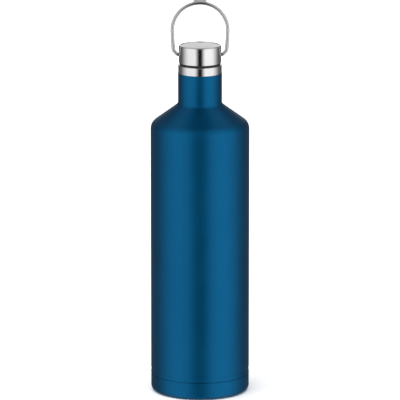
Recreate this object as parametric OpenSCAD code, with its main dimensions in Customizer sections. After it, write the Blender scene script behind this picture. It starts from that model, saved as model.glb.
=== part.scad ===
// Double-walled vacuum water bottle with a screw stopper and a wire carrying bail.
// Millimetres, +Z up, origin on the table plane at the middle of the foot, bail pivots along X.

/* [Body] */
// Outside diameter of the body
body_d = 74; // [72:0.5:76]
// Outside diameter of the neck
neck_d = 32.9; // [32.9:0.1:33.4]
// Height of the sharp corner between body and shoulder, before rounding
shoulder_z = 205; // [190:1:210]
// Height of the sharp corner between shoulder and neck, before rounding
neck_z = 220; // [218:1:222]
// Rounding radius of the shoulder edge
shoulder_round = 8; // [5:0.5:10]
// Rounding radius where the shoulder meets the neck
neck_round = 3.5; // [2:0.5:5]
// Height where the lacquer ends and the bare collar begins
lacquer_top_z = 243.3; // [242.5:0.1:244]
// Height of the drinking rim
rim_z = 249.6; // [249:0.1:250]

/* [Walls] */
// Thickness of the outer shell
shell_t = 0.5; // [0.45:0.05:0.6]
// Thickness of the inner vessel
liner_t = 0.4; // [0.35:0.05:0.5]
// Vacuum gap between the walls of the body
vacuum_gap = 1.6; // [1.4:0.1:2]

/* [Cap] */
// Outside diameter of the cap
cap_d = 31.6; // [31:0.1:32]
// Height of the cap's steel cup
cap_h = 13.2; // [12.5:0.1:14]
// Gap between rim and cap, which the neck gasket fills
gasket_h = 1.5; // [1.3:0.1:1.8]

/* [Thread] */
// Rise of the stopper in one full turn
thread_lead = 8; // [8:1:9]
// Turn of each ridge, in degrees
thread_turn = 290; // [200:10:300]

/* [Bail] */
// Diameter of the bail wire
wire_d = 2.6; // [2.2:0.1:2.8]
// Radius of the arch at the middle of the wire
arch_r = 20.7; // [20:0.1:22]
// Height of the pivot axis
pivot_z = 257.2; // [257:0.1:258]
// Height of the arch's centre
arch_z = 275.4; // [272:0.1:278]

/* [Hidden] */
$fn = 96;

lacquer_blue = [0.05, 0.36, 0.56];
steel_bright = [0.80, 0.80, 0.80];
steel_satin = [0.68, 0.69, 0.70];

body_r = body_d / 2;
neck_r = neck_d / 2;
arc_steps = 10;

// Foot and lower seam
seam_z = 13.2;
seam_slit = 0.3;
bead_z = 16.2;
bead_half = 2;
bead_depth = 0.35;
foot_round = 3.8;
foot_in_r = 28;
recess_r = 26.4;
recess_h = 1.8;
cup_t = 0.6;
cup_r = body_r - 0.05;
spigot_r = body_r - shell_t - bead_depth - 0.1;
spigot_t = 0.6;
spigot_top_z = 18.5;
port_r = 1.5;

// Inner vessel
liner_r = body_r - shell_t - vacuum_gap;
liner_shoulder_z = shoulder_z - 1.1;
liner_neck_z = neck_z - 1;
liner_weld_z = 20;
liner_floor_z = 6.6;
liner_floor_round = 9;
seat_top_z = 232;
seat_bottom_z = 230.2;
seat_r = 12.2;
throat_r = 14;
flange_t = 0.6;
liner_top_z = rim_z - flange_t;
collar_r = neck_r - 0.15;
collar_t = 0.5;
collar_spigot_z = 239.5;

// Stopper and cap
cap_r = cap_d / 2;
cap_z = rim_z + gasket_h;
cap_top_z = cap_z + cap_h;
cap_t = 0.6;
cap_edge = 1;
plate_r = 14.4;
plate_t = 0.8;
plate_sink = 0.3;
head_r = cap_r - cap_t - 0.1;
head_top_z = cap_top_z - plate_sink - plate_t - cap_t;
shank_r = 12.9;
shank_z = 231.5;
cavity_r = 11.4;
cavity_z = 233;
boss_r = 10;
boss_z = 229.3;
base_cap_r = 11.4;
base_cap_z = 228.4;
seal_r = 12.85;

// Thread: two ridges in the neck, and two on the stopper that lie just under them
ridge_root = 0.75;
ridge_tip = 0.45;
ridge_embed = 0.25;
neck_ridge_r = 13.1;
stopper_ridge_r = 13.85;
neck_ridge_z = 238.2;
ridge_play = 1.8;
steps_per_turn = 32;
ramp_steps = 4;

// Bail
wire_r = wire_d / 2;
leg_lean = 3;
elbow_lean = 48;
lower_bend_r = 2.8;
upper_bend_r = 4;
pin_end_x = 16;
wire_end_x = 9.9;
pin_play = 0.05;
bush_r = 2.05;
bush_flange_r = 2.6;
bush_flange_t = 0.6;
bush_in_x = 12.6;
bush_out_x = 15.65;
clip_r = 2.6;
clip_t = 0.5;
crest_angle = 12.5;
crest_h = 2.5;
crest_t = 2;

// Points of an arc about (x, y), from angle a0 to a1
function arc(x, y, r, a0, a1, n = arc_steps) =
  [for (i = [0:n]) let (a = a0 + (a1 - a0) * i / n) [x + r * cos(a), y + r * sin(a)]];

function reversed(list) = [for (i = [len(list) - 1:-1:0]) list[i]];

// Wall line of a bottle from its lower end to its top: body, rounded shoulder, cone, neck
function bottle_line(r, rn, zs, zn, zt, round_s, round_n) =
  let (
    turn = atan2(r - rn, zn - zs),
    ts = round_s * tan(turn / 2),
    tn = round_n * tan(turn / 2)
  )
  concat(
    arc(r - round_s, zs - ts, round_s, 0, turn),
    arc(rn + round_n, zn + tn, round_n, 180 + turn, 180),
    [[rn, zt]]
  );

// How much lower the corners of a wall's inner line lie, for the same thickness t on the cone
function wall_drop(r, rn, zs, zn, t) = t * tan(atan2(r - rn, zn - zs) / 2);

// Rolled bead above the lower seam, as a smooth dip in a wall of radius r
function bead_line(r) =
  [for (i = [-6:6]) [r - bead_depth * (1 + cos(30 * i)) / 2, bead_z + bead_half * i / 6]];

// One ring of a thread ridge: the inner and outer radius and the half height at each
function ridge_ring(a, z, r_in, half_in, r_out, half_out) = [
  [r_in * cos(a), r_in * sin(a), z - half_in],
  [r_out * cos(a), r_out * sin(a), z - half_out],
  [r_out * cos(a), r_out * sin(a), z + half_out],
  [r_in * cos(a), r_in * sin(a), z + half_in]
];

// How far the ridge stands out at step i of n: it fades in and out at its ends
function ramp(i, n) = max(0.15, min(1, i / ramp_steps, (n - i) / ramp_steps));

// A helical ridge of four-point rings, rising thread_lead in a turn
module ridge(start, z0, r_root, r_tip) {
  n = round(steps_per_turn * thread_turn / 360);
  inward = r_tip < r_root;
  sunk = inward ? r_root + ridge_embed : r_root - ridge_embed;
  rings = [
    for (i = [0:n])
      let (
        a = start + thread_turn * i / n,
        z = z0 + thread_lead * thread_turn / 360 * i / n,
        tip = r_root + (r_tip - r_root) * ramp(i, n)
      )
      inward
        ? ridge_ring(a, z, tip, ridge_tip, sunk, ridge_root)
        : ridge_ring(a, z, sunk, ridge_root, tip, ridge_tip)
  ];
  sides = [
    for (i = [0:n - 1], j = [0:3], k = [0:1])
      let (p = 4 * i + j, q = 4 * i + (j + 1) % 4)
      k == 0 ? [p, q, q + 4] : [p, q + 4, p + 4]
  ];
  ends = [[3, 2, 1], [3, 1, 0], [4 * n, 4 * n + 1, 4 * n + 2], [4 * n, 4 * n + 2, 4 * n + 3]];
  polyhedron(points = [for (ring = rings, p = ring) p], faces = concat(sides, ends));
}

module tube(r_out, r_in, z0, z1) {
  difference() {
    translate([0, 0, z0]) cylinder(r = r_out, h = z1 - z0);
    translate([0, 0, z0 - 1]) cylinder(r = r_in, h = z1 - z0 + 2);
  }
}

module disc(r, z0, z1) {
  translate([0, 0, z0]) cylinder(r = r, h = z1 - z0);
}

// A round bar along X
module x_bar(r, x0, x1) {
  translate([x0, 0, pivot_z]) rotate([0, 90, 0]) cylinder(r = r, h = x1 - x0);
}

// Lacquered outer wall, from the lower seam to the bare collar
module outer_shell() {
  outside = concat(
    [[body_r, seam_z + seam_slit / 2]],
    bead_line(body_r),
    bottle_line(body_r, neck_r, shoulder_z, neck_z, lacquer_top_z, shoulder_round, neck_round)
  );
  drop = wall_drop(body_r, neck_r, shoulder_z, neck_z, shell_t);
  inside = concat(
    [[body_r - shell_t, seam_z + seam_slit / 2]],
    bead_line(body_r - shell_t),
    bottle_line(
      body_r - shell_t, neck_r - shell_t, shoulder_z - drop, neck_z - drop,
      lacquer_top_z, shoulder_round - shell_t, neck_round + shell_t
    )
  );
  color(lacquer_blue) rotate_extrude() polygon(concat(outside, reversed(inside)));
}

// Lacquered cup that closes the outer wall below, with its foot ring and a spigot in the shell
module base_cup() {
  top_z = seam_z - seam_slit / 2;
  outside = concat(
    [[port_r, recess_h], [recess_r, recess_h], [foot_in_r, 0]],
    arc(cup_r - foot_round, foot_round, foot_round, -90, 0),
    [[cup_r, top_z - 0.3], [cup_r - 0.3, top_z]],
    [[spigot_r, top_z], [spigot_r, spigot_top_z]]
  );
  inner_r = cup_r - cup_t;
  inside = concat(
    [[port_r, recess_h + cup_t], [recess_r + 0.5, recess_h + cup_t], [foot_in_r + 0.5, cup_t]],
    arc(cup_r - foot_round, foot_round, foot_round - cup_t, -90, 0),
    [[inner_r, top_z - 2], [spigot_r - spigot_t, top_z - 1]],
    [[spigot_r - spigot_t, spigot_top_z]]
  );
  color(lacquer_blue) rotate_extrude() polygon(concat(outside, reversed(inside)));
}

// Satin disc in the recess under the foot, which covers the evacuation port
module base_disc() {
  color(steel_satin) disc(recess_r - 1, recess_h - 0.55, recess_h - 0.05);
}

// Bare steel at the mouth: skirt, rounded rim and the flange welded to the inner vessel
module neck_collar() {
  round_r = 1;
  inner_r = collar_r - collar_t;
  profile = concat(
    [[throat_r, liner_top_z], [inner_r - 0.5, liner_top_z], [inner_r - 0.5, collar_spigot_z]],
    [[inner_r, collar_spigot_z], [inner_r, lacquer_top_z], [collar_r, lacquer_top_z]],
    arc(collar_r - round_r, rim_z - round_r, round_r, 0, 90),
    [[throat_r, rim_z]]
  );
  color(steel_bright) rotate_extrude() polygon(profile);
}

// Inner vessel wall with the rolled two-start thread and the seat for the stopper's seal
module inner_liner() {
  step = 0.15;
  neck_out_r = seat_r + liner_t;
  drop = wall_drop(liner_r, neck_out_r, liner_shoulder_z, liner_neck_z, liner_t);
  outside = concat(
    [[liner_r, liner_weld_z]],
    bottle_line(
      liner_r, neck_out_r, liner_shoulder_z, liner_neck_z, seat_bottom_z - step, 6, 5
    ),
    [[throat_r + liner_t, seat_top_z - step], [throat_r + liner_t, liner_top_z]]
  );
  inside = concat(
    [[liner_r - liner_t, liner_weld_z]],
    bottle_line(
      liner_r - liner_t, seat_r, liner_shoulder_z - drop, liner_neck_z - drop, seat_bottom_z,
      6 - liner_t, 5 + liner_t
    ),
    [[throat_r, seat_top_z], [throat_r, liner_top_z]]
  );
  color(steel_satin) {
    rotate_extrude() polygon(concat(outside, reversed(inside)));
    for (start = [0, 180]) ridge(start, neck_ridge_z, throat_r, neck_ridge_r);
  }
}

// Dished floor of the inner vessel, welded under its wall
module liner_bottom() {
  wall = liner_r - liner_floor_round;
  outside = concat(
    [[0, liner_floor_z + 1.5], [8, liner_floor_z + 1.2], [18, liner_floor_z]],
    arc(wall, liner_floor_z + liner_floor_round, liner_floor_round, -90, 0),
    [[liner_r, liner_weld_z]]
  );
  inside = concat(
    [[0, liner_floor_z + 1.5 + liner_t], [8, liner_floor_z + 1.2 + liner_t]],
    [[18, liner_floor_z + liner_t]],
    arc(wall, liner_floor_z + liner_floor_round, liner_floor_round - liner_t, -90, 0),
    [[liner_r - liner_t, liner_weld_z]]
  );
  color(steel_satin) rotate_extrude() polygon(concat(outside, reversed(inside)));
}

// Metal foil wrapped round the inner vessel, which turns heat back
module radiation_foil() {
  color("peru") tube(liner_r + 0.3, liner_r + 0.15, 24, liner_shoulder_z - 5);
}

// Gas-absorbing pellet under the inner floor
module getter_pellet() {
  color("dimgray") disc(3.8, 4.5, 6.2);
}

// Spot-welded strap that holds the pellet: a ring below it and four legs up to the floor
module getter_clip() {
  leg = 1.2;
  color(steel_satin) {
    tube(5, 2.4, 4, 4.5);
    for (a = [0:90:270])
      rotate([0, 0, a]) translate([4.1, -leg / 2, 4.1]) cube([0.6, leg, 3.8]);
  }
}

// Bead of solder that seals the evacuation port from inside
module vacuum_plug() {
  color("darkslategray") {
    disc(port_r - 0.03, recess_h, recess_h + cup_t + 0.5);
    disc(2.6, recess_h + cup_t + 0.02, recess_h + cup_t + 0.6);
  }
}

// Soft ring between the rim and the cap
module neck_gasket() {
  gap = 0.05;
  color("black") tube(cap_r - 0.35, 13.5, rim_z + gap, cap_z - gap);
}

// Drawn steel cup of the cap, with the sunk seat for the top plate and the two bail holes
module cap_shell() {
  top_in_z = head_top_z;
  profile = concat(
    [[0, top_in_z], [cap_r - cap_t, top_in_z], [cap_r - cap_t, cap_z], [cap_r, cap_z]],
    arc(cap_r - cap_edge, cap_top_z - cap_edge, cap_edge, 0, 90),
    [[plate_r + 0.1, cap_top_z], [plate_r + 0.1, top_in_z + cap_t], [0, top_in_z + cap_t]]
  );
  color(steel_bright) difference() {
    rotate_extrude() polygon(profile);
    x_bar(bush_r + pin_play, -cap_r - 2, cap_r + 2);
  }
}

// Brushed plate let into the top of the cap
module cap_top_plate() {
  color(steel_satin) disc(plate_r, head_top_z + cap_t + 0.02, cap_top_z - plate_sink);
}

// Moulded stopper: head inside the cap, hollow shank with two thread ridges, boss for the seal
module stopper_body() {
  neck_shank_r = 13.2;
  profile = [
    [0, boss_z], [boss_r, boss_z], [boss_r, shank_z], [shank_r, shank_z],
    [shank_r, rim_z - 1.6], [neck_shank_r, rim_z - 1.2], [neck_shank_r, cap_z + 0.1],
    [head_r, cap_z + 0.1], [head_r, head_top_z - 0.1], [cavity_r, head_top_z - 0.1],
    [cavity_r, cavity_z], [0, cavity_z]
  ];
  color([0.13, 0.13, 0.14]) difference() {
    union() {
      rotate_extrude() polygon(profile);
      for (start = [0, 180])
        ridge(start, neck_ridge_z - ridge_play, shank_r, stopper_ridge_r);
    }
    x_bar(wire_r + pin_play, -cap_r, cap_r);
    for (side = [0, 180])
      rotate([0, 0, side]) {
        x_bar(bush_r + pin_play, bush_in_x - pin_play, cap_r);
        x_bar(bush_flange_r + pin_play, cavity_r - 1, bush_in_x + bush_flange_t + pin_play);
      }
  }
}

// Insulating plug in the stopper's hollow, narrower where the wire ends reach in
module stopper_foam() {
  color("ivory") {
    disc(cavity_r - 0.2, cavity_z + 0.1, pivot_z - 4);
    disc(9.5, pivot_z - 4.5, head_top_z - 0.3);
  }
}

// Seal ring that closes on the seat in the neck
module stopper_seal() {
  lip_z = 231.1;
  profile = [
    [boss_r + 0.05, boss_z + 0.05], [seat_r - 0.35, boss_z + 0.05],
    [seat_r - 0.3, seat_bottom_z + 0.25], [seal_r, lip_z], [seal_r, shank_z - 0.05],
    [boss_r + 0.05, shank_z - 0.05]
  ];
  color([0.72, 0.73, 0.74]) rotate_extrude() polygon(profile);
}

// Steel disc that closes the stopper below and keeps the seal on
module stopper_base_cap() {
  profile = concat(
    [[0, boss_z - 0.02], [0, base_cap_z]],
    arc(base_cap_r - 0.6, base_cap_z + 0.6, 0.6, -90, 0, 5),
    [[base_cap_r, boss_z - 0.02]]
  );
  color(steel_satin) rotate_extrude() polygon(profile);
}

// Bush that lines one of the cap's bail holes, with its flange inside the stopper's head
module pivot_bush() {
  difference() {
    union() {
      x_bar(bush_r, bush_in_x, bush_out_x);
      x_bar(bush_flange_r, bush_in_x, bush_in_x + bush_flange_t);
    }
    x_bar(wire_r + pin_play, bush_in_x - 1, bush_out_x + 1);
  }
}

module pivot_bush_right() {
  color("black") pivot_bush();
}

module pivot_bush_left() {
  color("black") mirror([1, 0, 0]) pivot_bush();
}

// A stretch of the bail wire bent in the XZ plane about (x, z), from angle a0 to a1
module wire_bend(x, z, r, a0, a1) {
  translate([x, 0, z]) rotate([90, 0, 0])
    rotate_extrude(angle = a1 - a0, start = a0) translate([r, 0]) circle(r = wire_r);
}

// A straight stretch of the bail wire, a hair thinner than the bent ones and reaching into them
module wire_straight(x, z, angle, length) {
  reach = 0.05;
  translate([x, 0, z]) rotate([0, 90 - angle, 0])
    translate([0, 0, -reach]) cylinder(r = wire_r - 0.01, h = length + 2 * reach);
}

// One side of the bail wire below the arch: pin, lower bend, elbow, upper bend and leaning leg
module bail_side() {
  heading = 90 - leg_lean;
  low_x = pin_end_x + lower_bend_r * sin(elbow_lean);
  low_z = pivot_z + lower_bend_r * (1 - cos(elbow_lean));
  bend_dx = upper_bend_r * (sin(heading) - sin(elbow_lean));
  bend_dz = upper_bend_r * (cos(elbow_lean) - cos(heading));
  leg_x = arch_r * cos(leg_lean);
  leg_z = arch_z - arch_r * sin(leg_lean);
  slack = leg_x - (leg_z - low_z - bend_dz) * tan(leg_lean) - low_x - bend_dx;
  elbow = slack / (cos(elbow_lean) - sin(elbow_lean) * tan(leg_lean));
  high_x = low_x + elbow * cos(elbow_lean);
  high_z = low_z + elbow * sin(elbow_lean);
  leg_h = (leg_z - high_z - bend_dz) / cos(leg_lean);
  wire_straight(wire_end_x, pivot_z, 0, pin_end_x - wire_end_x);
  wire_bend(pin_end_x, pivot_z + lower_bend_r, lower_bend_r, -90, elbow_lean - 90);
  wire_straight(low_x, low_z, elbow_lean, elbow);
  wire_bend(
    high_x - upper_bend_r * sin(elbow_lean), high_z + upper_bend_r * cos(elbow_lean),
    upper_bend_r, elbow_lean - 90, -leg_lean
  );
  wire_straight(high_x + bend_dx, high_z + bend_dz, heading, leg_h);
}

// Part of a ring about the arch's centre, from angle a0 on each side of the crest
module arch_ring(half_angle) {
  translate([0, 0, arch_z]) rotate([90, 0, 0])
    rotate_extrude(angle = 2 * half_angle, start = 90 - half_angle) children();
}

// Bail: one bent wire with a low grip pad on its crest
module bail_handle() {
  color(steel_bright) {
    arch_ring(90 + leg_lean) translate([arch_r, 0]) circle(r = wire_r);
    arch_ring(crest_angle) translate([arch_r, -crest_t / 2]) square([crest_h, crest_t]);
    bail_side();
    mirror([1, 0, 0]) bail_side();
  }
}

// Push-on rings on the wire ends inside the stopper
module bail_clips() {
  color(steel_satin)
    for (side = [0, 180])
      rotate([0, 0, side]) difference() {
        x_bar(clip_r, wire_end_x + 0.3, wire_end_x + 0.3 + clip_t);
        x_bar(wire_r + 0.02, wire_end_x, wire_end_x + 2);
      }
}

outer_shell();
base_cup();
base_disc();
neck_collar();
inner_liner();
liner_bottom();
radiation_foil();
getter_pellet();
getter_clip();
vacuum_plug();
neck_gasket();
cap_shell();
cap_top_plate();
stopper_body();
stopper_foam();
stopper_seal();
stopper_base_cap();
pivot_bush_left();
pivot_bush_right();
bail_handle();
bail_clips();
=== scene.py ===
"""Looks of a double-walled steel water bottle with a screw stopper and a wire bail.

Turned pieces are lathed from their half sections, the bail is swept along its centre line,
and every surface has a procedural material. Half sections are in millimetres.
"""

import math

import bmesh
import bpy
from mathutils import Matrix, Vector


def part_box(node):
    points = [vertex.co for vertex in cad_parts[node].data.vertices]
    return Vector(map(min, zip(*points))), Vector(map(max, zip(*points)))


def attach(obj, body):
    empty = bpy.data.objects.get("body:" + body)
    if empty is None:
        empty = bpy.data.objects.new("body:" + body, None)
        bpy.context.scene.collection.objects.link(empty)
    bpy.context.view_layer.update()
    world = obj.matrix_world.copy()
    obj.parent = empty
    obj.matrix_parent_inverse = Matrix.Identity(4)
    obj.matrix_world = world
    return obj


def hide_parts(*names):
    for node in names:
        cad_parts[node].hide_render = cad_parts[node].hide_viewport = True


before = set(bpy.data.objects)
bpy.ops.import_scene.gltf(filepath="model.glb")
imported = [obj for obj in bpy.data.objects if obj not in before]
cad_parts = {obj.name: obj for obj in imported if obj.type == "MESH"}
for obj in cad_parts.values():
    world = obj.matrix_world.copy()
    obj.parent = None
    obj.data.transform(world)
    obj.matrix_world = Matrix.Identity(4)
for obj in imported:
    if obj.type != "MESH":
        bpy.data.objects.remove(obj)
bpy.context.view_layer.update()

MM = 0.001
TURN_STEPS = 176
HIDDEN_STEPS = 128
SHARP_ANGLE = math.radians(28)


# ---------------------------------------------------------------- dimensions, from the frame

def node_size(node):
    """(radius, lowest z, highest z) of a turned CAD node, in millimetres."""
    low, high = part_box(node)
    return high.x / MM, low.z / MM, high.z / MM


BODY_R, SEAM_TOP, LACQUER_TOP = node_size("outer_shell")
CUP_R, FOOT_Z, SPIGOT_TOP = node_size("base_cup")
DISC_R, DISC_LOW, DISC_HIGH = node_size("base_disc")
COLLAR_R, COLLAR_LOW, RIM_Z = node_size("neck_collar")
LINER_R, LINER_LOW, LINER_TOP = node_size("inner_liner")
GASKET_R, GASKET_LOW, GASKET_HIGH = node_size("neck_gasket")
CAP_R, CAP_LOW, CAP_TOP = node_size("cap_shell")
PLATE_R, PLATE_LOW, PLATE_TOP = node_size("cap_top_plate")
HEAD_R, BOSS_Z, HEAD_TOP = node_size("stopper_body")
SEAL_R, SEAL_LOW, SEAL_TOP = node_size("stopper_seal")
LID_R, LID_LOW, LID_TOP = node_size("stopper_base_cap")
BUSH_OUT, BUSH_LOW, BUSH_HIGH = node_size("pivot_bush_right")
BUSH_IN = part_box("pivot_bush_right")[0].x / MM
PIVOT_Z = (BUSH_LOW + BUSH_HIGH) / 2
BAIL_OUT, BAIL_LOW, BAIL_TOP = node_size("bail_handle")
WIRE_R = PIVOT_Z - BAIL_LOW

# Outer wall and base
NECK_R = COLLAR_R + 0.15
SHOULDER_Z = 205
NECK_Z = 220
SHOULDER_ROUND = 8
NECK_ROUND = 3.5
SHELL_T = 0.5
CUP_T = 0.6
BEAD_Z = 16.2
BEAD_HALF = 2
BEAD_DEPTH = 0.35
SEAM_GAP = 0.3
FOOT_ROUND = 3.8
FOOT_RING_R = 28.6
PORT_R = 1.5

# Inner vessel
LINER_T = 0.4
LINER_SHOULDER_Z = SHOULDER_Z - 1.1
LINER_NECK_Z = NECK_Z - 1
LINER_SHOULDER_ROUND = 6
LINER_NECK_ROUND = 5
SEAT_R = 12.2
SEAT_LOW = 230.2
SEAT_HIGH = 232
THROAT_R = 14

# Stopper and its thread
SHANK_R = 12.9
NECK_SHANK_R = 13.2
BOSS_R = 10
FOAM_R = 11.4
FOAM_Z = 233
THREAD_LEAD = 8
THREAD_TURN = 290
NECK_RIDGE_R = 13.1
NECK_RIDGE_Z = 238.2
STOPPER_RIDGE_R = 13.85
RIDGE_PLAY = 1.8

# Cap and bail
CAP_T = 0.6
BAIL_HOLE_R = 2.1
BUSH_FLANGE_T = 0.6
PIN_TIP_X = 9.9
LEG_LEAN = 3
CREST_H = 2.5
ARCH_R = BAIL_OUT - WIRE_R
ARCH_Z = BAIL_TOP - CREST_H - ARCH_R


# ---------------------------------------------------------------- meshes

def arc(x, z, r, start, end, steps=10):
    """Points of a round stretch about (x, z), between two angles in degrees."""
    points = []
    for i in range(steps + 1):
        a = math.radians(start + (end - start) * i / steps)
        points.append((x + r * math.cos(a), z + r * math.sin(a)))
    return points


def rounded(corners, r, steps=5):
    """The closed outline through corners, each one rounded by about r."""
    points = []
    for i, corner in enumerate(corners):
        c = Vector(corner)
        before = Vector(corners[i - 1]) - c
        after = Vector(corners[(i + 1) % len(corners)]) - c
        cut = min(r, 0.45 * before.length, 0.45 * after.length)
        a = c + before.normalized() * cut
        b = c + after.normalized() * cut
        for k in range(steps + 1):
            t = k / steps
            p = a.lerp(c, t).lerp(c.lerp(b, t), t)
            points.append((p.x, p.y))
    return points


def finish_mesh(name, bm, sharp=SHARP_ANGLE):
    """Turns a bmesh in millimetres into a smooth object in metres."""
    bmesh.ops.remove_doubles(bm, verts=bm.verts, dist=1e-5)
    bmesh.ops.recalc_face_normals(bm, faces=bm.faces)
    mesh = bpy.data.meshes.new(name)
    bm.to_mesh(mesh)
    bm.free()
    mesh.transform(Matrix.Scale(MM, 4))
    mesh.polygons.foreach_set("use_smooth", [True] * len(mesh.polygons))
    mesh.set_sharp_from_angle(angle=sharp)
    piece = bpy.data.objects.new(name, mesh)
    bpy.context.scene.collection.objects.link(piece)
    return piece


def lathe_into(bm, profile, steps=TURN_STEPS):
    """Turns a closed half section of (radius, z) points about the Z axis."""
    rings = []
    for r, z in profile:
        if r < 1e-6:
            rings.append([bm.verts.new((0, 0, z))] * steps)
            continue
        rings.append([
            bm.verts.new((r * math.cos(a), r * math.sin(a), z))
            for a in (math.tau * i / steps for i in range(steps))
        ])
    for low, high in zip(rings, rings[1:] + rings[:1]):
        for i in range(steps):
            j = (i + 1) % steps
            corners = list(dict.fromkeys((low[i], low[j], high[j], high[i])))
            if len(corners) > 2:
                bm.faces.new(corners)


def lathe(name, profile, steps=TURN_STEPS):
    bm = bmesh.new()
    lathe_into(bm, profile, steps)
    return finish_mesh(name, bm)


def skin_rings(bm, rings, closed_ends=True):
    """Joins rings of vertices one after another, and closes both ends."""
    for low, high in zip(rings, rings[1:]):
        for i in range(len(low)):
            j = (i + 1) % len(low)
            bm.faces.new((low[i], low[j], high[j], high[i]))
    if closed_ends:
        bm.faces.new(list(reversed(rings[0])))
        bm.faces.new(rings[-1])


def bottle_line(r, neck_r, shoulder_z, neck_z, top_z, shoulder_round, neck_round):
    """A bottle wall from its straight side to its neck, as part.scad's function of that name."""
    turn = math.degrees(math.atan2(r - neck_r, neck_z - shoulder_z))
    half = math.tan(math.radians(turn / 2))
    return (
        arc(r - shoulder_round, shoulder_z - shoulder_round * half, shoulder_round, 0, turn, 24)
        + arc(neck_r + neck_round, neck_z + neck_round * half, neck_round, 180 + turn, 180, 16)
        + [(neck_r, top_z)]
    )


def wall_drop(r, neck_r, shoulder_z, neck_z, thickness):
    """How much lower the inner line's corners lie, for an even wall on the cone."""
    return thickness * math.tan(math.atan2(r - neck_r, neck_z - shoulder_z) / 2)


def bead_line(r):
    """The rolled bead above the lower seam, as a smooth dip in a wall of radius r."""
    steps = 16
    return [
        (r - BEAD_DEPTH * (1 + math.cos(math.pi * i / steps)) / 2, BEAD_Z + BEAD_HALF * i / steps)
        for i in range(-steps, steps + 1)
    ]


def thread_into(bm, start, z0, wall_r, tip_r):
    """A rounded helical ridge that fades in and out, sunk a little into its wall."""
    steps = 150
    fade = 14
    root_half = 0.75
    tip_half = 0.38
    sink = 0.2 if tip_r > wall_r else -0.2
    rings = []
    for i in range(steps + 1):
        a = math.radians(start + THREAD_TURN * i / steps)
        z = z0 + THREAD_LEAD * THREAD_TURN / 360 * i / steps
        grow = math.sin(math.pi / 2 * max(0.02, min(1, i / fade, (steps - i) / fade)))
        tip = wall_r + (tip_r - wall_r) * grow
        section = rounded([
            (wall_r - sink, z - root_half), (wall_r, z - root_half), (tip, z - tip_half),
            (tip, z + tip_half), (wall_r, z + root_half), (wall_r - sink, z + root_half),
        ], 0.18, 3)
        rings.append([bm.verts.new((r * math.cos(a), r * math.sin(a), h)) for r, h in section])
    skin_rings(bm, rings)


# ---------------------------------------------------------------- materials

class Graph:
    """A material's node tree around one Principled shader, in object coordinates."""

    def __init__(self, name):
        self.material = bpy.data.materials.new(name)
        self.material.use_nodes = True
        self.tree = self.material.node_tree
        self.shader = self.tree.nodes["Principled BSDF"]
        self.position = self.tree.nodes.new("ShaderNodeTexCoord").outputs["Object"]

    def set(self, **values):
        for name, value in values.items():
            self.shader.inputs[name.replace("_", " ")].default_value = value
        return self

    def link(self, output, socket):
        self.tree.links.new(output, self.shader.inputs[socket])

    def math(self, operation, a, b=0.0):
        node = self.tree.nodes.new("ShaderNodeMath")
        node.operation = operation
        for socket, value in zip(node.inputs, (a, b)):
            if isinstance(value, (int, float)):
                socket.default_value = value
            else:
                self.tree.links.new(value, socket)
        return node.outputs[0]

    def scaled(self, x, y, z):
        node = self.tree.nodes.new("ShaderNodeMapping")
        node.inputs["Scale"].default_value = (x, y, z)
        self.tree.links.new(self.position, node.inputs["Vector"])
        return node.outputs[0]

    def noise(self, scale, detail=3.0, roughness=0.5, vector=None):
        node = self.tree.nodes.new("ShaderNodeTexNoise")
        node.inputs["Scale"].default_value = scale
        node.inputs["Detail"].default_value = detail
        node.inputs["Roughness"].default_value = roughness
        self.tree.links.new(vector or self.position, node.inputs["Vector"])
        return node.outputs["Fac"]

    def flakes(self, scale):
        node = self.tree.nodes.new("ShaderNodeTexVoronoi")
        node.inputs["Scale"].default_value = scale
        self.tree.links.new(self.position, node.inputs["Vector"])
        return node.outputs["Color"]

    def split(self, vector):
        node = self.tree.nodes.new("ShaderNodeSeparateXYZ")
        self.tree.links.new(vector, node.inputs[0])
        return node.outputs

    def radius(self):
        x, y, _ = self.split(self.position)
        return self.math("SQRT", self.math("ADD", self.math("MULTIPLY", x, x),
                                           self.math("MULTIPLY", y, y)))

    def combine(self, x):
        node = self.tree.nodes.new("ShaderNodeCombineXYZ")
        self.tree.links.new(x, node.inputs[0])
        return node.outputs[0]

    def span(self, value, low, high, to_low, to_high):
        """Value mapped from low..high to to_low..to_high, and held inside them."""
        node = self.tree.nodes.new("ShaderNodeMapRange")
        node.inputs["From Min"].default_value = low
        node.inputs["From Max"].default_value = high
        node.inputs["To Min"].default_value = to_low
        node.inputs["To Max"].default_value = to_high
        self.tree.links.new(value, node.inputs["Value"])
        return node.outputs[0]

    def blend(self, factor, colour_a, colour_b):
        node = self.tree.nodes.new("ShaderNodeMix")
        node.data_type = "RGBA"
        self.tree.links.new(factor, node.inputs["Factor"])
        for socket, colour in ((node.inputs[6], colour_a), (node.inputs[7], colour_b)):
            if isinstance(colour, tuple):
                socket.default_value = (*colour, 1)
            else:
                self.tree.links.new(colour, socket)
        return node.outputs[2]

    def bump(self, height, strength, distance_mm):
        node = self.tree.nodes.new("ShaderNodeBump")
        node.inputs["Strength"].default_value = strength
        node.inputs["Distance"].default_value = distance_mm * MM
        self.tree.links.new(height, node.inputs["Height"])
        self.link(node.outputs[0], "Normal")


def turned_lines(graph, per_metre):
    """Fine lines that run round the bottle's axis, as a lathe or a polishing belt leaves them."""
    return graph.noise(1.0, 2.0, 0.6, graph.scaled(18, 18, per_metre))


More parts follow.
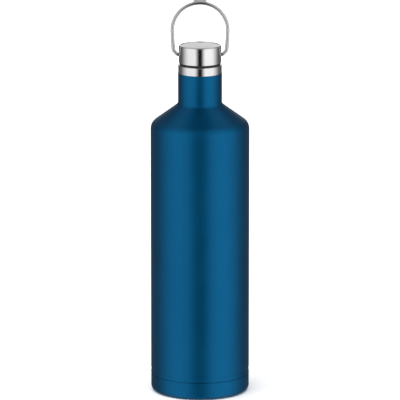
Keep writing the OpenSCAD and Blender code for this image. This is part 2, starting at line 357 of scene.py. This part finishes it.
def lacquer():
    """Translucent metallic lacquer over brushed steel."""
    g = Graph("blue_lacquer")
    g.set(Metallic=0.95, Specular_IOR_Level=0.0, Coat_Weight=0.08, Coat_Roughness=0.10, Coat_IOR=1.45,
          Sheen_Weight=0.02, Sheen_Roughness=0.35)
    cloud = g.noise(45, 3)
    flake = g.split(g.flakes(5200))[0]
    base = g.blend(g.span(cloud, 0.3, 0.7, 0, 1), (0.0022, 0.105, 0.248), (0.0028, 0.117, 0.270))
    g.link(g.blend(g.span(flake, 0.86, 1.0, 0.0, 0.35), base, (0.010, 0.155, 0.330)), "Base Color")
    lines = turned_lines(g, 2600)
    g.link(g.math("ADD", g.span(lines, 0.3, 0.7, 0.38, 0.43), g.span(cloud, 0.3, 0.7, 0.0, 0.03)),
           "Roughness")
    peel = g.math("ADD", g.noise(420, 2), g.math("MULTIPLY", lines, 0.35))
    g.bump(peel, 0.035, 0.25)
    return g.material


def steel(name, colour, low, high, line_density=3200, bump=0.05):
    """Bare steel with turned polishing lines, faint smears and a few fine scratches."""
    g = Graph(name)
    g.set(Metallic=1.0)
    lines = turned_lines(g, line_density)
    smear = g.noise(90, 4, 0.6)
    darker = tuple(0.86 * c for c in colour)
    g.link(g.blend(g.span(smear, 0.35, 0.75, 0, 0.5), colour, darker), "Base Color")
    g.link(g.math("ADD", g.span(lines, 0.25, 0.75, low, high), g.span(smear, 0.4, 0.8, 0, 0.05)),
           "Roughness")
    g.bump(lines, bump, 0.1)
    return g.material


def spun_steel():
    """Satin disc, brushed in fine circles about its centre."""
    g = Graph("satin_spun_steel")
    g.set(Metallic=1.0)
    rings = g.noise(4200, 3, 0.6, g.combine(g.radius()))
    haze = g.noise(120, 3)
    g.link(g.blend(g.span(haze, 0.3, 0.7, 0, 1), (0.82, 0.81, 0.81), (0.76, 0.755, 0.755)), "Base Color")
    g.link(g.span(rings, 0.25, 0.75, 0.28, 0.40), "Roughness")
    g.bump(rings, 0.12, 0.08)
    return g.material


def wire_steel(name, colour, low, high):
    """Drawn and tumbled steel: fine lengthwise marks and soft dents."""
    g = Graph(name)
    g.set(Metallic=1.0)
    dents = g.noise(900, 3)
    marks = g.noise(1.0, 2, 0.6, g.scaled(900, 9000, 900))
    worn = tuple(0.9 * c for c in colour)
    g.link(g.blend(g.span(dents, 0.3, 0.7, 0, 1), colour, worn), "Base Color")
    g.link(g.span(marks, 0.3, 0.7, low, high), "Roughness")
    g.bump(g.math("ADD", dents, marks), 0.06, 0.1)
    return g.material


def moulded(name, colour, low, high, grain_scale, bump, **values):
    """Moulded plastic or rubber with a fine sparked grain and faint flow marks."""
    g = Graph(name)
    g.set(**values)
    grain = g.noise(grain_scale, 3, 0.6)
    flow = g.noise(160, 3)
    lighter = tuple(min(1.0, 1.18 * c + 0.004) for c in colour)
    g.link(g.blend(g.span(flow, 0.3, 0.7, 0, 1), colour, lighter), "Base Color")
    g.link(g.span(grain, 0.3, 0.7, low, high), "Roughness")
    g.bump(grain, bump, 0.06)
    return g.material


def crinkled_foil():
    """Thin copper foil with sharp creases."""
    g = Graph("copper_foil")
    g.set(Metallic=1.0)
    creases = g.noise(260, 5, 0.65)
    g.link(g.blend(g.span(creases, 0.3, 0.7, 0, 1), (0.60, 0.27, 0.14), (0.75, 0.38, 0.22)), "Base Color")
    g.link(g.span(creases, 0.3, 0.7, 0.15, 0.35), "Roughness")
    g.bump(creases, 0.5, 0.3)
    return g.material


def pale_floor():
    """Matt, nearly white floor."""
    g = Graph("pale_floor")
    grain = g.noise(60, 2)
    g.link(g.blend(g.span(grain, 0.3, 0.7, 0, 1), (0.90, 0.905, 0.91), (0.91, 0.915, 0.92)), "Base Color")
    g.set(Roughness=0.9, Specular_IOR_Level=0.0)
    return g.material


BLUE = lacquer()
POLISHED = steel("polished_steel", (0.80, 0.79, 0.795), 0.05, 0.09)
SATIN = steel("satin_steel", (0.60, 0.60, 0.605), 0.26, 0.40, 2200, 0.12)
SPUN = spun_steel()
WIRE = wire_steel("wire_steel", (0.64, 0.635, 0.63), 0.09, 0.18)
PAD = wire_steel("blasted_steel", (0.74, 0.74, 0.745), 0.5, 0.62)
BLACK_SILICONE = moulded("black_silicone", (0.012, 0.012, 0.013), 0.55, 0.75, 2600, 0.15)
CLEAR_SILICONE = moulded("clear_silicone", (0.55, 0.56, 0.57), 0.35, 0.5, 2200, 0.08,
                         Subsurface_Weight=0.25, Subsurface_Scale=0.002)
STOPPER_PLASTIC = moulded("stopper_plastic", (0.016, 0.016, 0.018), 0.42, 0.58, 3400, 0.12)
BUSH_PLASTIC = moulded("bush_plastic", (0.010, 0.010, 0.011), 0.35, 0.5, 3400, 0.08)
FOAM = moulded("foam", (0.78, 0.74, 0.62), 0.8, 0.95, 1500, 0.6)
GETTER = moulded("getter", (0.05, 0.05, 0.052), 0.7, 0.9, 4200, 0.5, Metallic=0.6)
SOLDER = moulded("solder_glass", (0.03, 0.04, 0.04), 0.1, 0.2, 900, 0.1)
FOIL = crinkled_foil()


def dress(piece, material, body, slot, *nodes):
    """Gives a piece its material and its body, and hides the CAD nodes that it stands for. The slot is
    not used.
    """
    piece.data.materials.clear()
    piece.data.materials.append(material)
    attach(piece, body)
    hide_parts(*nodes)
    return piece


def dress_node(node, material):
    """Gives a CAD node that stays its procedural material."""
    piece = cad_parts[node]
    piece.data.materials.clear()
    piece.data.materials.append(material)


# ---------------------------------------------------------------- flask

def make_shell():
    """Outer wall with a rolled lower lip, the bead, the rounded shoulder and the lacquer's edge."""
    lip = 0.09
    edge = 0.12
    outside = (
        arc(BODY_R - lip, SEAM_TOP + lip, lip, -90, 0, 5)
        + bead_line(BODY_R)
        + bottle_line(BODY_R, NECK_R, SHOULDER_Z, NECK_Z, LACQUER_TOP - edge,
                      SHOULDER_ROUND, NECK_ROUND)
        + arc(NECK_R - edge, LACQUER_TOP - edge, edge, 0, 90, 4)[1:]
    )
    drop = wall_drop(BODY_R, NECK_R, SHOULDER_Z, NECK_Z, SHELL_T)
    inside = (
        [(BODY_R - SHELL_T, SEAM_TOP)]
        + bead_line(BODY_R - SHELL_T)
        + bottle_line(BODY_R - SHELL_T, NECK_R - SHELL_T, SHOULDER_Z - drop, NECK_Z - drop,
                      LACQUER_TOP, SHOULDER_ROUND - SHELL_T, NECK_ROUND + SHELL_T)
    )
    shell = lathe("lacquered_shell", outside + inside[::-1])
    dress(shell, BLUE, "flask", "blue_lacquer", "outer_shell")


def make_base():
    """Bottom cup: foot ring, recess, side up to the seam and the spigot inside the shell."""
    seam = SEAM_TOP - SEAM_GAP
    recess = DISC_HIGH + 0.05
    recess_r = DISC_R + 0.6
    recess_round = 0.4
    ring_round = 0.9
    spigot_r = BODY_R - SHELL_T - BEAD_DEPTH - 0.1
    spigot_in = spigot_r - CUP_T
    lip = 0.12
    outside = (
        [(PORT_R, recess), (recess_r, recess)]
        + arc(recess_r, recess - recess_round, recess_round, 90, 30, 4)
        + arc(FOOT_RING_R, FOOT_Z + ring_round, ring_round, 215, 270, 6)
        + arc(CUP_R - FOOT_ROUND, FOOT_ROUND, FOOT_ROUND, -90, 0, 18)
        + arc(CUP_R - lip, seam - lip, lip, 0, 90, 5)
        + [(spigot_r, seam), (spigot_r, SPIGOT_TOP)]
    )
    wall = CUP_R - CUP_T
    inside = (
        [(PORT_R, recess + CUP_T), (recess_r + 1, recess + CUP_T), (FOOT_RING_R, CUP_T)]
        + arc(CUP_R - FOOT_ROUND, FOOT_ROUND, FOOT_ROUND - CUP_T, -90, 0, 12)
        + [(wall, seam - 2), (spigot_in, seam - 1), (spigot_in, SPIGOT_TOP)]
    )
    base = lathe("lacquered_base", outside + inside[::-1])
    dress(base, BLUE, "flask", "blue_lacquer", "base_cup")


def make_foot_disc():
    """Disc in the foot's recess, with two pressed rings."""
    edge = 0.15
    groove = DISC_LOW + 0.2
    wide, narrow = 0.7, 0.3
    top = [(0, DISC_HIGH), (DISC_R - 0.1, DISC_HIGH)]
    low = arc(DISC_R - edge, DISC_LOW + edge, edge, 0, -90, 4)
    for ring in (19.0, 8.5):
        low += [(ring + wide, DISC_LOW), (ring + narrow, groove), (ring - narrow, groove),
                (ring - wide, DISC_LOW)]
    disc = lathe("foot_disc", top + low + [(0, DISC_LOW)])
    dress(disc, SPUN, "flask", "satin_steel", "base_disc")


def make_collar():
    """Bare steel at the mouth: skirt, rolled rim and the flange over the inner vessel."""
    wall = 0.5
    skirt_r = COLLAR_R - wall
    edge = 0.08
    roll = 0.95
    mouth = 0.25
    profile = (
        [(THROAT_R, LINER_TOP), (skirt_r - wall, LINER_TOP), (skirt_r - wall, COLLAR_LOW)]
        + [(skirt_r, COLLAR_LOW), (skirt_r, LACQUER_TOP), (COLLAR_R - edge, LACQUER_TOP)]
        + [(COLLAR_R, LACQUER_TOP + edge)]
        + arc(COLLAR_R - roll, RIM_Z - roll, roll, 0, 90, 12)
        + arc(THROAT_R + mouth, RIM_Z - mouth, mouth, 90, 180, 5)
    )
    dress(lathe("bare_collar", profile), POLISHED, "flask", "polished_steel", "neck_collar")


def make_vessel():
    """Inner vessel: side, shoulder, seal seat, threaded throat."""
    wall_in = LINER_R - LINER_T
    step = 0.15
    edge = 0.1
    drop = wall_drop(LINER_R, SEAT_R + LINER_T, LINER_SHOULDER_Z, LINER_NECK_Z, LINER_T)
    outside = (
        [(LINER_R, LINER_LOW)]
        + bottle_line(LINER_R, SEAT_R + LINER_T, LINER_SHOULDER_Z, LINER_NECK_Z, SEAT_LOW - step,
                      LINER_SHOULDER_ROUND, LINER_NECK_ROUND)
        + [(THROAT_R + LINER_T, SEAT_HIGH - step), (THROAT_R + LINER_T, LINER_TOP)]
    )
    inside = (
        [(wall_in, LINER_LOW)]
        + bottle_line(wall_in, SEAT_R, LINER_SHOULDER_Z - drop, LINER_NECK_Z - drop, SEAT_LOW - 2 * edge,
                      LINER_SHOULDER_ROUND - LINER_T, LINER_NECK_ROUND + LINER_T)
        + [(SEAT_R + 0.08, SEAT_LOW), (THROAT_R - edge, SEAT_HIGH - edge)]
        + [(THROAT_R, SEAT_HIGH + edge), (THROAT_R, LINER_TOP)]
    )
    bm = bmesh.new()
    lathe_into(bm, outside + inside[::-1], HIDDEN_STEPS)
    for start in (0, 180):
        thread_into(bm, start, NECK_RIDGE_Z, THROAT_R, NECK_RIDGE_R)
    dress(finish_mesh("inner_vessel", bm), SATIN, "flask", "satin_steel", "inner_liner")


# ---------------------------------------------------------------- cap

def make_gasket():
    """Soft ring between rim and cap, with bulged sides."""
    inner = 13.5
    bulge = 0.25
    low, high = GASKET_LOW, GASKET_HIGH
    middle = (low + high) / 2
    profile = rounded([(inner, low), (GASKET_R - bulge, low), (GASKET_R, middle),
                       (GASKET_R - bulge, high), (inner, high)], 0.3)
    dress(lathe("gasket_ring", profile), BLACK_SILICONE, "gasket", "black_silicone", "neck_gasket")


def round_side_normals(piece, radius):
    """Sets exact normals on a turned side, so that holes cut in it leave no dents in its gloss."""
    upright = 0.02
    near = 0.02 * MM
    mesh = piece.data
    normals = [tuple(c.vector) for c in mesh.corner_normals]
    for face in mesh.polygons:
        if abs(face.normal.z) > upright:
            continue
        for loop in face.loop_indices:
            p = mesh.vertices[mesh.loops[loop].vertex_index].co
            if abs(math.hypot(p.x, p.y) - radius) < near and face.normal.dot((p.x, p.y, 0)) > 0:
                normals[loop] = tuple(Vector((p.x, p.y, 0)).normalized())
    mesh.normals_split_custom_set(normals)


def cut(piece, cutter):
    """Takes the cutter's shape out of a piece."""
    modifier = piece.modifiers.new("cut", "BOOLEAN")
    modifier.operation = "DIFFERENCE"
    modifier.solver = "EXACT"
    modifier.object = cutter
    evaluated = piece.evaluated_get(bpy.context.evaluated_depsgraph_get())
    mesh = bpy.data.meshes.new_from_object(evaluated)
    piece.modifiers.clear()
    piece.data = mesh
    bpy.data.objects.remove(cutter)


def pivot_rings(bm, profile, steps):
    """Rings of vertices about the bail's pivot axis, one for each (radius, x) point."""
    return [
        [bm.verts.new((x, r * math.cos(a), PIVOT_Z + r * math.sin(a)))
         for a in (math.tau * i / steps for i in range(steps))]
        for r, x in profile
    ]


def along_x(bm, profile, steps=48):
    """Turns a closed half section of (radius, x) points about the bail's pivot axis."""
    rings = pivot_rings(bm, profile, steps)
    for low, high in zip(rings, rings[1:] + rings[:1]):
        for i in range(steps):
            j = (i + 1) % steps
            bm.faces.new((low[i], low[j], high[j], high[i]))


def make_cap_cup():
    """Drawn steel cup with a rounded top edge, the plate's sunk seat and the two bail holes."""
    edge = 1.0
    corner = 0.5
    chamfer_in, chamfer_out = 0.1, 0.15
    lip = 0.12
    seat = PLATE_LOW - 0.02
    seat_r = PLATE_R + 0.1
    under = seat - CAP_T
    inner = CAP_R - CAP_T
    profile = (
        [(0, under)]
        + arc(inner - corner, under - corner, corner, 90, 0, 5)
        + [(inner, CAP_LOW + chamfer_in), (inner + chamfer_in, CAP_LOW), (CAP_R - chamfer_out, CAP_LOW)]
        + [(CAP_R, CAP_LOW + chamfer_out)]
        + arc(CAP_R - edge, CAP_TOP - edge, edge, 0, 90, 14)
        + arc(seat_r + lip, CAP_TOP - lip, lip, 90, 180, 4)
        + [(seat_r, seat), (0, seat)]
    )
    cup = lathe("cap_cup", profile)
    bm = bmesh.new()
    past = CAP_R + 2
    skin_rings(bm, pivot_rings(bm, [(BAIL_HOLE_R, -past), (BAIL_HOLE_R, past)], 64))
    cut(cup, finish_mesh("hole_tool", bm))
    cup.data.polygons.foreach_set("use_smooth", [True] * len(cup.data.polygons))
    cup.data.set_sharp_from_angle(angle=SHARP_ANGLE)
    round_side_normals(cup, CAP_R * MM)
    dress(cup, POLISHED, "cap", "polished_steel", "cap_shell")


def make_cap_plate():
    """Brushed plate in the cap's top, its edge turned down."""
    edge = 0.2
    profile = (
        [(0, PLATE_LOW), (PLATE_R, PLATE_LOW)]
        + arc(PLATE_R - edge, PLATE_TOP - edge, edge, 0, 90, 6)
        + [(0, PLATE_TOP)]
    )
    dress(lathe("cap_plate", profile), SPUN, "cap", "satin_steel", "cap_top_plate")


def make_stopper():
    """Moulded stopper: head, hollow shank with its two thread ridges, and the seal's boss."""
    shank_low = SEAL_TOP + 0.05
    head_low = CAP_LOW + 0.1
    shank_edge = 0.3
    head_edge = 0.6
    step_low, step_high = RIM_Z - 1.6, RIM_Z - 1.2
    shank = (
        [(0, BOSS_Z), (BOSS_R, BOSS_Z), (BOSS_R, shank_low), (SHANK_R - shank_edge, shank_low)]
        + [(SHANK_R, shank_low + shank_edge), (SHANK_R, step_low), (NECK_SHANK_R, step_high)]
        + [(NECK_SHANK_R, head_low), (HEAD_R, head_low), (HEAD_R, HEAD_TOP - head_edge)]
        + [(HEAD_R - head_edge, HEAD_TOP), (FOAM_R, HEAD_TOP), (FOAM_R, FOAM_Z), (0, FOAM_Z)]
    )
    stopper = lathe("stopper", shank, HIDDEN_STEPS)
    pocket_r = 2.65
    pocket_end = BUSH_IN + 0.65
    bm = bmesh.new()
    for side in (1, -1):
        steps = ((pocket_r, 9), (pocket_r, pocket_end), (BAIL_HOLE_R, pocket_end), (BAIL_HOLE_R, CAP_R))
        skin_rings(bm, pivot_rings(bm, [(r, side * x) for r, x in steps], 48))
    cut(stopper, finish_mesh("stopper_hole_tool", bm))
    bm = bmesh.new()
    bm.from_mesh(stopper.data)
    bmesh.ops.scale(bm, vec=(1 / MM, 1 / MM, 1 / MM), verts=bm.verts)
    for start in (0, 180):
        thread_into(bm, start, NECK_RIDGE_Z - RIDGE_PLAY, SHANK_R, STOPPER_RIDGE_R)
    bpy.data.objects.remove(stopper)
    dress(finish_mesh("stopper", bm), STOPPER_PLASTIC, "cap", "stopper_plastic", "stopper_body")


def make_seal():
    """Silicone ring with two soft lips that meet the seat in the neck."""
    inner = BOSS_R + 0.05
    low_lip, waist = 11.8, 11.9
    low, high = SEAL_LOW, SEAL_TOP
    profile = rounded([
        (inner, low), (low_lip, low), (waist, low + 1.05), (SEAL_R, high - 0.35), (SEAL_R, high),
        (inner, high),
    ], 0.22)
    dress(lathe("seal_ring", profile), CLEAR_SILICONE, "cap", "clear_silicone", "stopper_seal")


def make_stopper_lid():
    """Steel disc under the stopper, dished once, with a rounded edge."""
    edge = 0.4
    low = LID_LOW
    dish_r = 8
    profile = (
        [(0, LID_TOP), (LID_R, LID_TOP)]
        + arc(LID_R - edge, low + edge, edge, 0, -90, 6)
        + [(dish_r + 0.2, low), (dish_r - 0.2, low + 0.25), (0, low + 0.3)]
    )
    dress(lathe("stopper_lid", profile), SPUN, "cap", "satin_steel", "stopper_base_cap")


def make_bushes():
    """The two bushes in the cap's bail holes, flanged on the inside."""
    bore = WIRE_R + 0.05
    barrel = BAIL_HOLE_R - 0.05
    flange = (BUSH_HIGH - BUSH_LOW) / 2
    step = BUSH_IN + BUSH_FLANGE_T
    for name, node, side in (("bush_right", "pivot_bush_right", 1), ("bush_left", "pivot_bush_left", -1)):
        outline = rounded([
            (bore, side * BUSH_IN), (flange, side * BUSH_IN), (flange, side * step),
            (barrel, side * step), (barrel, side * BUSH_OUT), (bore, side * BUSH_OUT),
        ], 0.12)
        bm = bmesh.new()
        along_x(bm, outline)
        dress(finish_mesh(name, bm), BUSH_PLASTIC, "cap", "bush_plastic", node)


# ---------------------------------------------------------------- bail

def bail_side_path():
    """Centre line from the right-hand pin's inner end up to where the arch begins, as (x, z)."""
    lean = math.radians(LEG_LEAN)
    elbow = math.radians(48)
    heading = math.pi / 2 - lean
    pin_end, low_r, high_r = 16.0, 2.8, 4.0
    low_x = pin_end + low_r * math.sin(elbow)
    low_z = PIVOT_Z + low_r * (1 - math.cos(elbow))
    bend_dx = high_r * (math.sin(heading) - math.sin(elbow))
    bend_dz = high_r * (math.cos(elbow) - math.cos(heading))
    leg_x = ARCH_R * math.cos(lean)
    leg_z = ARCH_Z - ARCH_R * math.sin(lean)
    slack = leg_x - (leg_z - low_z - bend_dz) * math.tan(lean) - low_x - bend_dx
    length = slack / (math.cos(elbow) - math.sin(elbow) * math.tan(lean))
    high_x = low_x + length * math.cos(elbow)
    high_z = low_z + length * math.sin(elbow)
    path = [(PIN_TIP_X, PIVOT_Z)]
    path += arc(pin_end, PIVOT_Z + low_r, low_r, -90, math.degrees(elbow) - 90, 10)
    path += arc(high_x - high_r * math.sin(elbow), high_z + high_r * math.cos(elbow), high_r,
                math.degrees(elbow) - 90, -math.degrees(lean), 10)
    path += [(leg_x, leg_z)]
    return path


def sweep_xz(bm, path, section):
    """Sweeps a closed section of (across, y) points along a path of (x, z) points."""
    rings = []
    for i, (x, z) in enumerate(path):
        ahead = Vector(path[min(i + 1, len(path) - 1)]) - Vector(path[max(i - 1, 0)])
        ahead.normalize()
        across = Vector((ahead.y, -ahead.x))
        rings.append([bm.verts.new((x + across.x * u, v, z + across.y * u)) for u, v in section])
    skin_rings(bm, rings)


def make_bail():
    """The bent wire and the low grip pad welded on its crest."""
    side = bail_side_path()
    crest = arc(0, ARCH_Z, ARCH_R, -LEG_LEAN, 180 + LEG_LEAN, 96)
    path = side[:-1] + crest + [(-x, z) for x, z in side[:-1]][::-1]
    circle = arc(0, 0, WIRE_R, 0, 360, 28)[:-1]
    wire_bm = bmesh.new()
    sweep_xz(wire_bm, path, circle)
    dress(finish_mesh("bail_wire", wire_bm), WIRE, "bail", "wire_steel", "bail_handle")
    pad_bm = bmesh.new()
    pad_turn = 12.3
    sunk, half = 0.3, 0.98
    pad_path = arc(0, ARCH_Z, ARCH_R, 90 - pad_turn, 90 + pad_turn, 24)
    pad_section = rounded([(sunk, -half), (sunk, half), (CREST_H, half), (CREST_H, -half)], 0.3)
    sweep_xz(pad_bm, pad_path, pad_section)
    dress(finish_mesh("crest_pad", pad_bm), PAD, "bail", "wire_steel", "bail_handle")


# ---------------------------------------------------------------- studio

def make_floor():
    """A wide floor just under the foot ring, which gloss doesn't see."""
    half = 12.0
    level = -0.2 * MM
    mesh = bpy.data.meshes.new("floor")
    corners = [(-half, -half, level), (half, -half, level), (half, half, level), (-half, half, level)]
    mesh.from_pydata(corners, [], [(0, 1, 2, 3)])
    floor = bpy.data.objects.new("floor", mesh)
    bpy.context.scene.collection.objects.link(floor)
    floor.data.materials.append(pale_floor())
    floor.visible_glossy = False


class Surroundings:
    """Arithmetic on the directions round the bottle, in the world's node tree."""

    def __init__(self, tree):
        self.tree = tree
        split = self.node("ShaderNodeSeparateXYZ")
        tree.links.new(self.node("ShaderNodeTexCoord").outputs["Generated"], split.inputs[0])
        self.x, self.y, self.z = split.outputs

    def node(self, kind, **values):
        made = self.tree.nodes.new(kind)
        for name, value in values.items():
            setattr(made, name, value)
        return made

    def operate(self, operation, a, b=0.0):
        made = self.node("ShaderNodeMath", operation=operation)
        for socket, value in zip(made.inputs, (a, b)):
            if isinstance(value, (int, float)):
                socket.default_value = value
            else:
                self.tree.links.new(value, socket)
        return made.outputs[0]

    def product(self, first, *others):
        for other in others:
            first = self.operate("MULTIPLY", first, other)
        return first

    def total(self, first, *others):
        for other in others:
            first = self.operate("ADD", first, other)
        return first

    def step(self, value, low, high):
        """A soft step from 0 at low to 1 at high, which may be the lower of the two."""
        made = self.node("ShaderNodeMapRange", interpolation_type="SMOOTHSTEP")
        made.inputs["From Min"].default_value = low
        made.inputs["From Max"].default_value = high
        self.tree.links.new(value, made.inputs["Value"])
        return made.outputs[0]

    def dimmed(self, least, value):
        """Value from 0 to 1, raised so that it starts at least."""
        return self.total(self.product(value, 1 - least), least)


def studio_gloss(s):
    """What gloss sees in each direction: +X to the right, +Y behind the bottle, +Z up."""
    side = s.operate("ABSOLUTE", s.x)
    depth = s.operate("ABSOLUTE", s.y)
    below_top = s.step(s.z, 0.82, 0.42)
    front = s.dimmed(0.09, s.step(s.y, 0.58, -0.5))
    behind = s.dimmed(0.4, s.step(s.y, -0.6, 0.6))

    side_panels = s.product(s.step(side, 0.07, 0.52), front, below_top)
    backdrop = s.product(s.step(depth, 0.7, 0.95), s.step(side, 0.34, 0.14),
                         s.step(s.z, 0.0, 0.12), s.step(s.z, 0.55, 0.3), behind)
    top_boxes = s.product(s.step(side, 0.16, 0.34), s.step(s.y, 0.75, 0.15), s.step(s.z, 0.5, 0.8))
    overhead = s.product(s.step(depth, 0.4, 0.6), s.step(depth, 0.95, 0.7),
                         s.step(s.z, 0.5, 0.7), s.step(side, 0.5, 0.25))
    rear_wall = s.product(s.step(side, 0.28, 0.12), s.step(s.y, 0.80, 0.95), below_top)
    floor = s.step(s.z, -0.55, -0.85)

    lit = s.total(
        s.product(side_panels, 1.36),
        s.product(backdrop, 0.82),
        s.product(top_boxes, 0.9),
        s.product(overhead, 0.34),
        s.product(rear_wall, 0.5),
        s.product(floor, 0.35),
    )
    brighter_right = s.total(s.product(s.x, 0.06), 1.0)
    return s.total(s.product(lit, brighter_right), 0.012)


def make_world():
    """White surroundings, in which gloss alone sees soft panels with dark gaps between them."""
    world = bpy.data.worlds.new("studio")
    bpy.context.scene.world = world
    world.use_nodes = True
    tree = world.node_tree
    tree.nodes.clear()
    surroundings = Surroundings(tree)
    strength = surroundings.node("ShaderNodeMix", data_type="FLOAT")
    rays = surroundings.node("ShaderNodeLightPath")
    tree.links.new(rays.outputs["Is Glossy Ray"], strength.inputs[0])
    strength.inputs[2].default_value = 1.0
    tree.links.new(studio_gloss(surroundings), strength.inputs[3])
    background = surroundings.node("ShaderNodeBackground")
    tree.links.new(strength.outputs[0], background.inputs["Strength"])
    output = surroundings.node("ShaderNodeOutputWorld")
    tree.links.new(background.outputs[0], output.inputs["Surface"])
    world.cycles.sampling_method = "NONE"


def make_lights():
    """A wide soft light from above for the floor and the matt pieces."""
    data = bpy.data.lights.new("overhead", "SUN")
    data.energy = 2.4
    data.angle = math.radians(70)
    lamp = bpy.data.objects.new("overhead", data)
    lamp.rotation_euler = (math.radians(12), math.radians(-8), 0)
    lamp.visible_glossy = False
    bpy.context.scene.collection.objects.link(lamp)


def make_camera():
    """A long lens, a little above the bottle and straight in front of it, as in the photo."""
    elevation = math.radians(12.4)
    distance = 3.5
    lens = 419.3
    aim = Vector((0, 0, 0.1459))
    data = bpy.data.cameras.new("camera")
    data.sensor_width = 36
    data.lens = lens
    camera = bpy.data.objects.new("camera", data)
    camera.location = aim + distance * Vector((0, -math.cos(elevation), math.sin(elevation)))
    camera.rotation_euler = (math.pi / 2 - elevation, 0, 0)
    bpy.context.scene.collection.objects.link(camera)
    bpy.context.scene.camera = camera


make_camera()
make_world()
make_lights()
make_floor()

make_shell()
make_base()
make_foot_disc()
make_collar()
make_vessel()
make_gasket()
make_cap_cup()
make_cap_plate()
make_stopper()
make_seal()
make_stopper_lid()
make_bushes()
make_bail()

dress_node("liner_bottom", SATIN)
dress_node("radiation_foil", FOIL)
dress_node("getter_pellet", GETTER)
dress_node("getter_clip", SATIN)
dress_node("vacuum_plug", SOLDER)
dress_node("stopper_foam", FOAM)
dress_node("bail_clips", SATIN)

bpy.context.scene.view_settings.view_transform = "Standard"
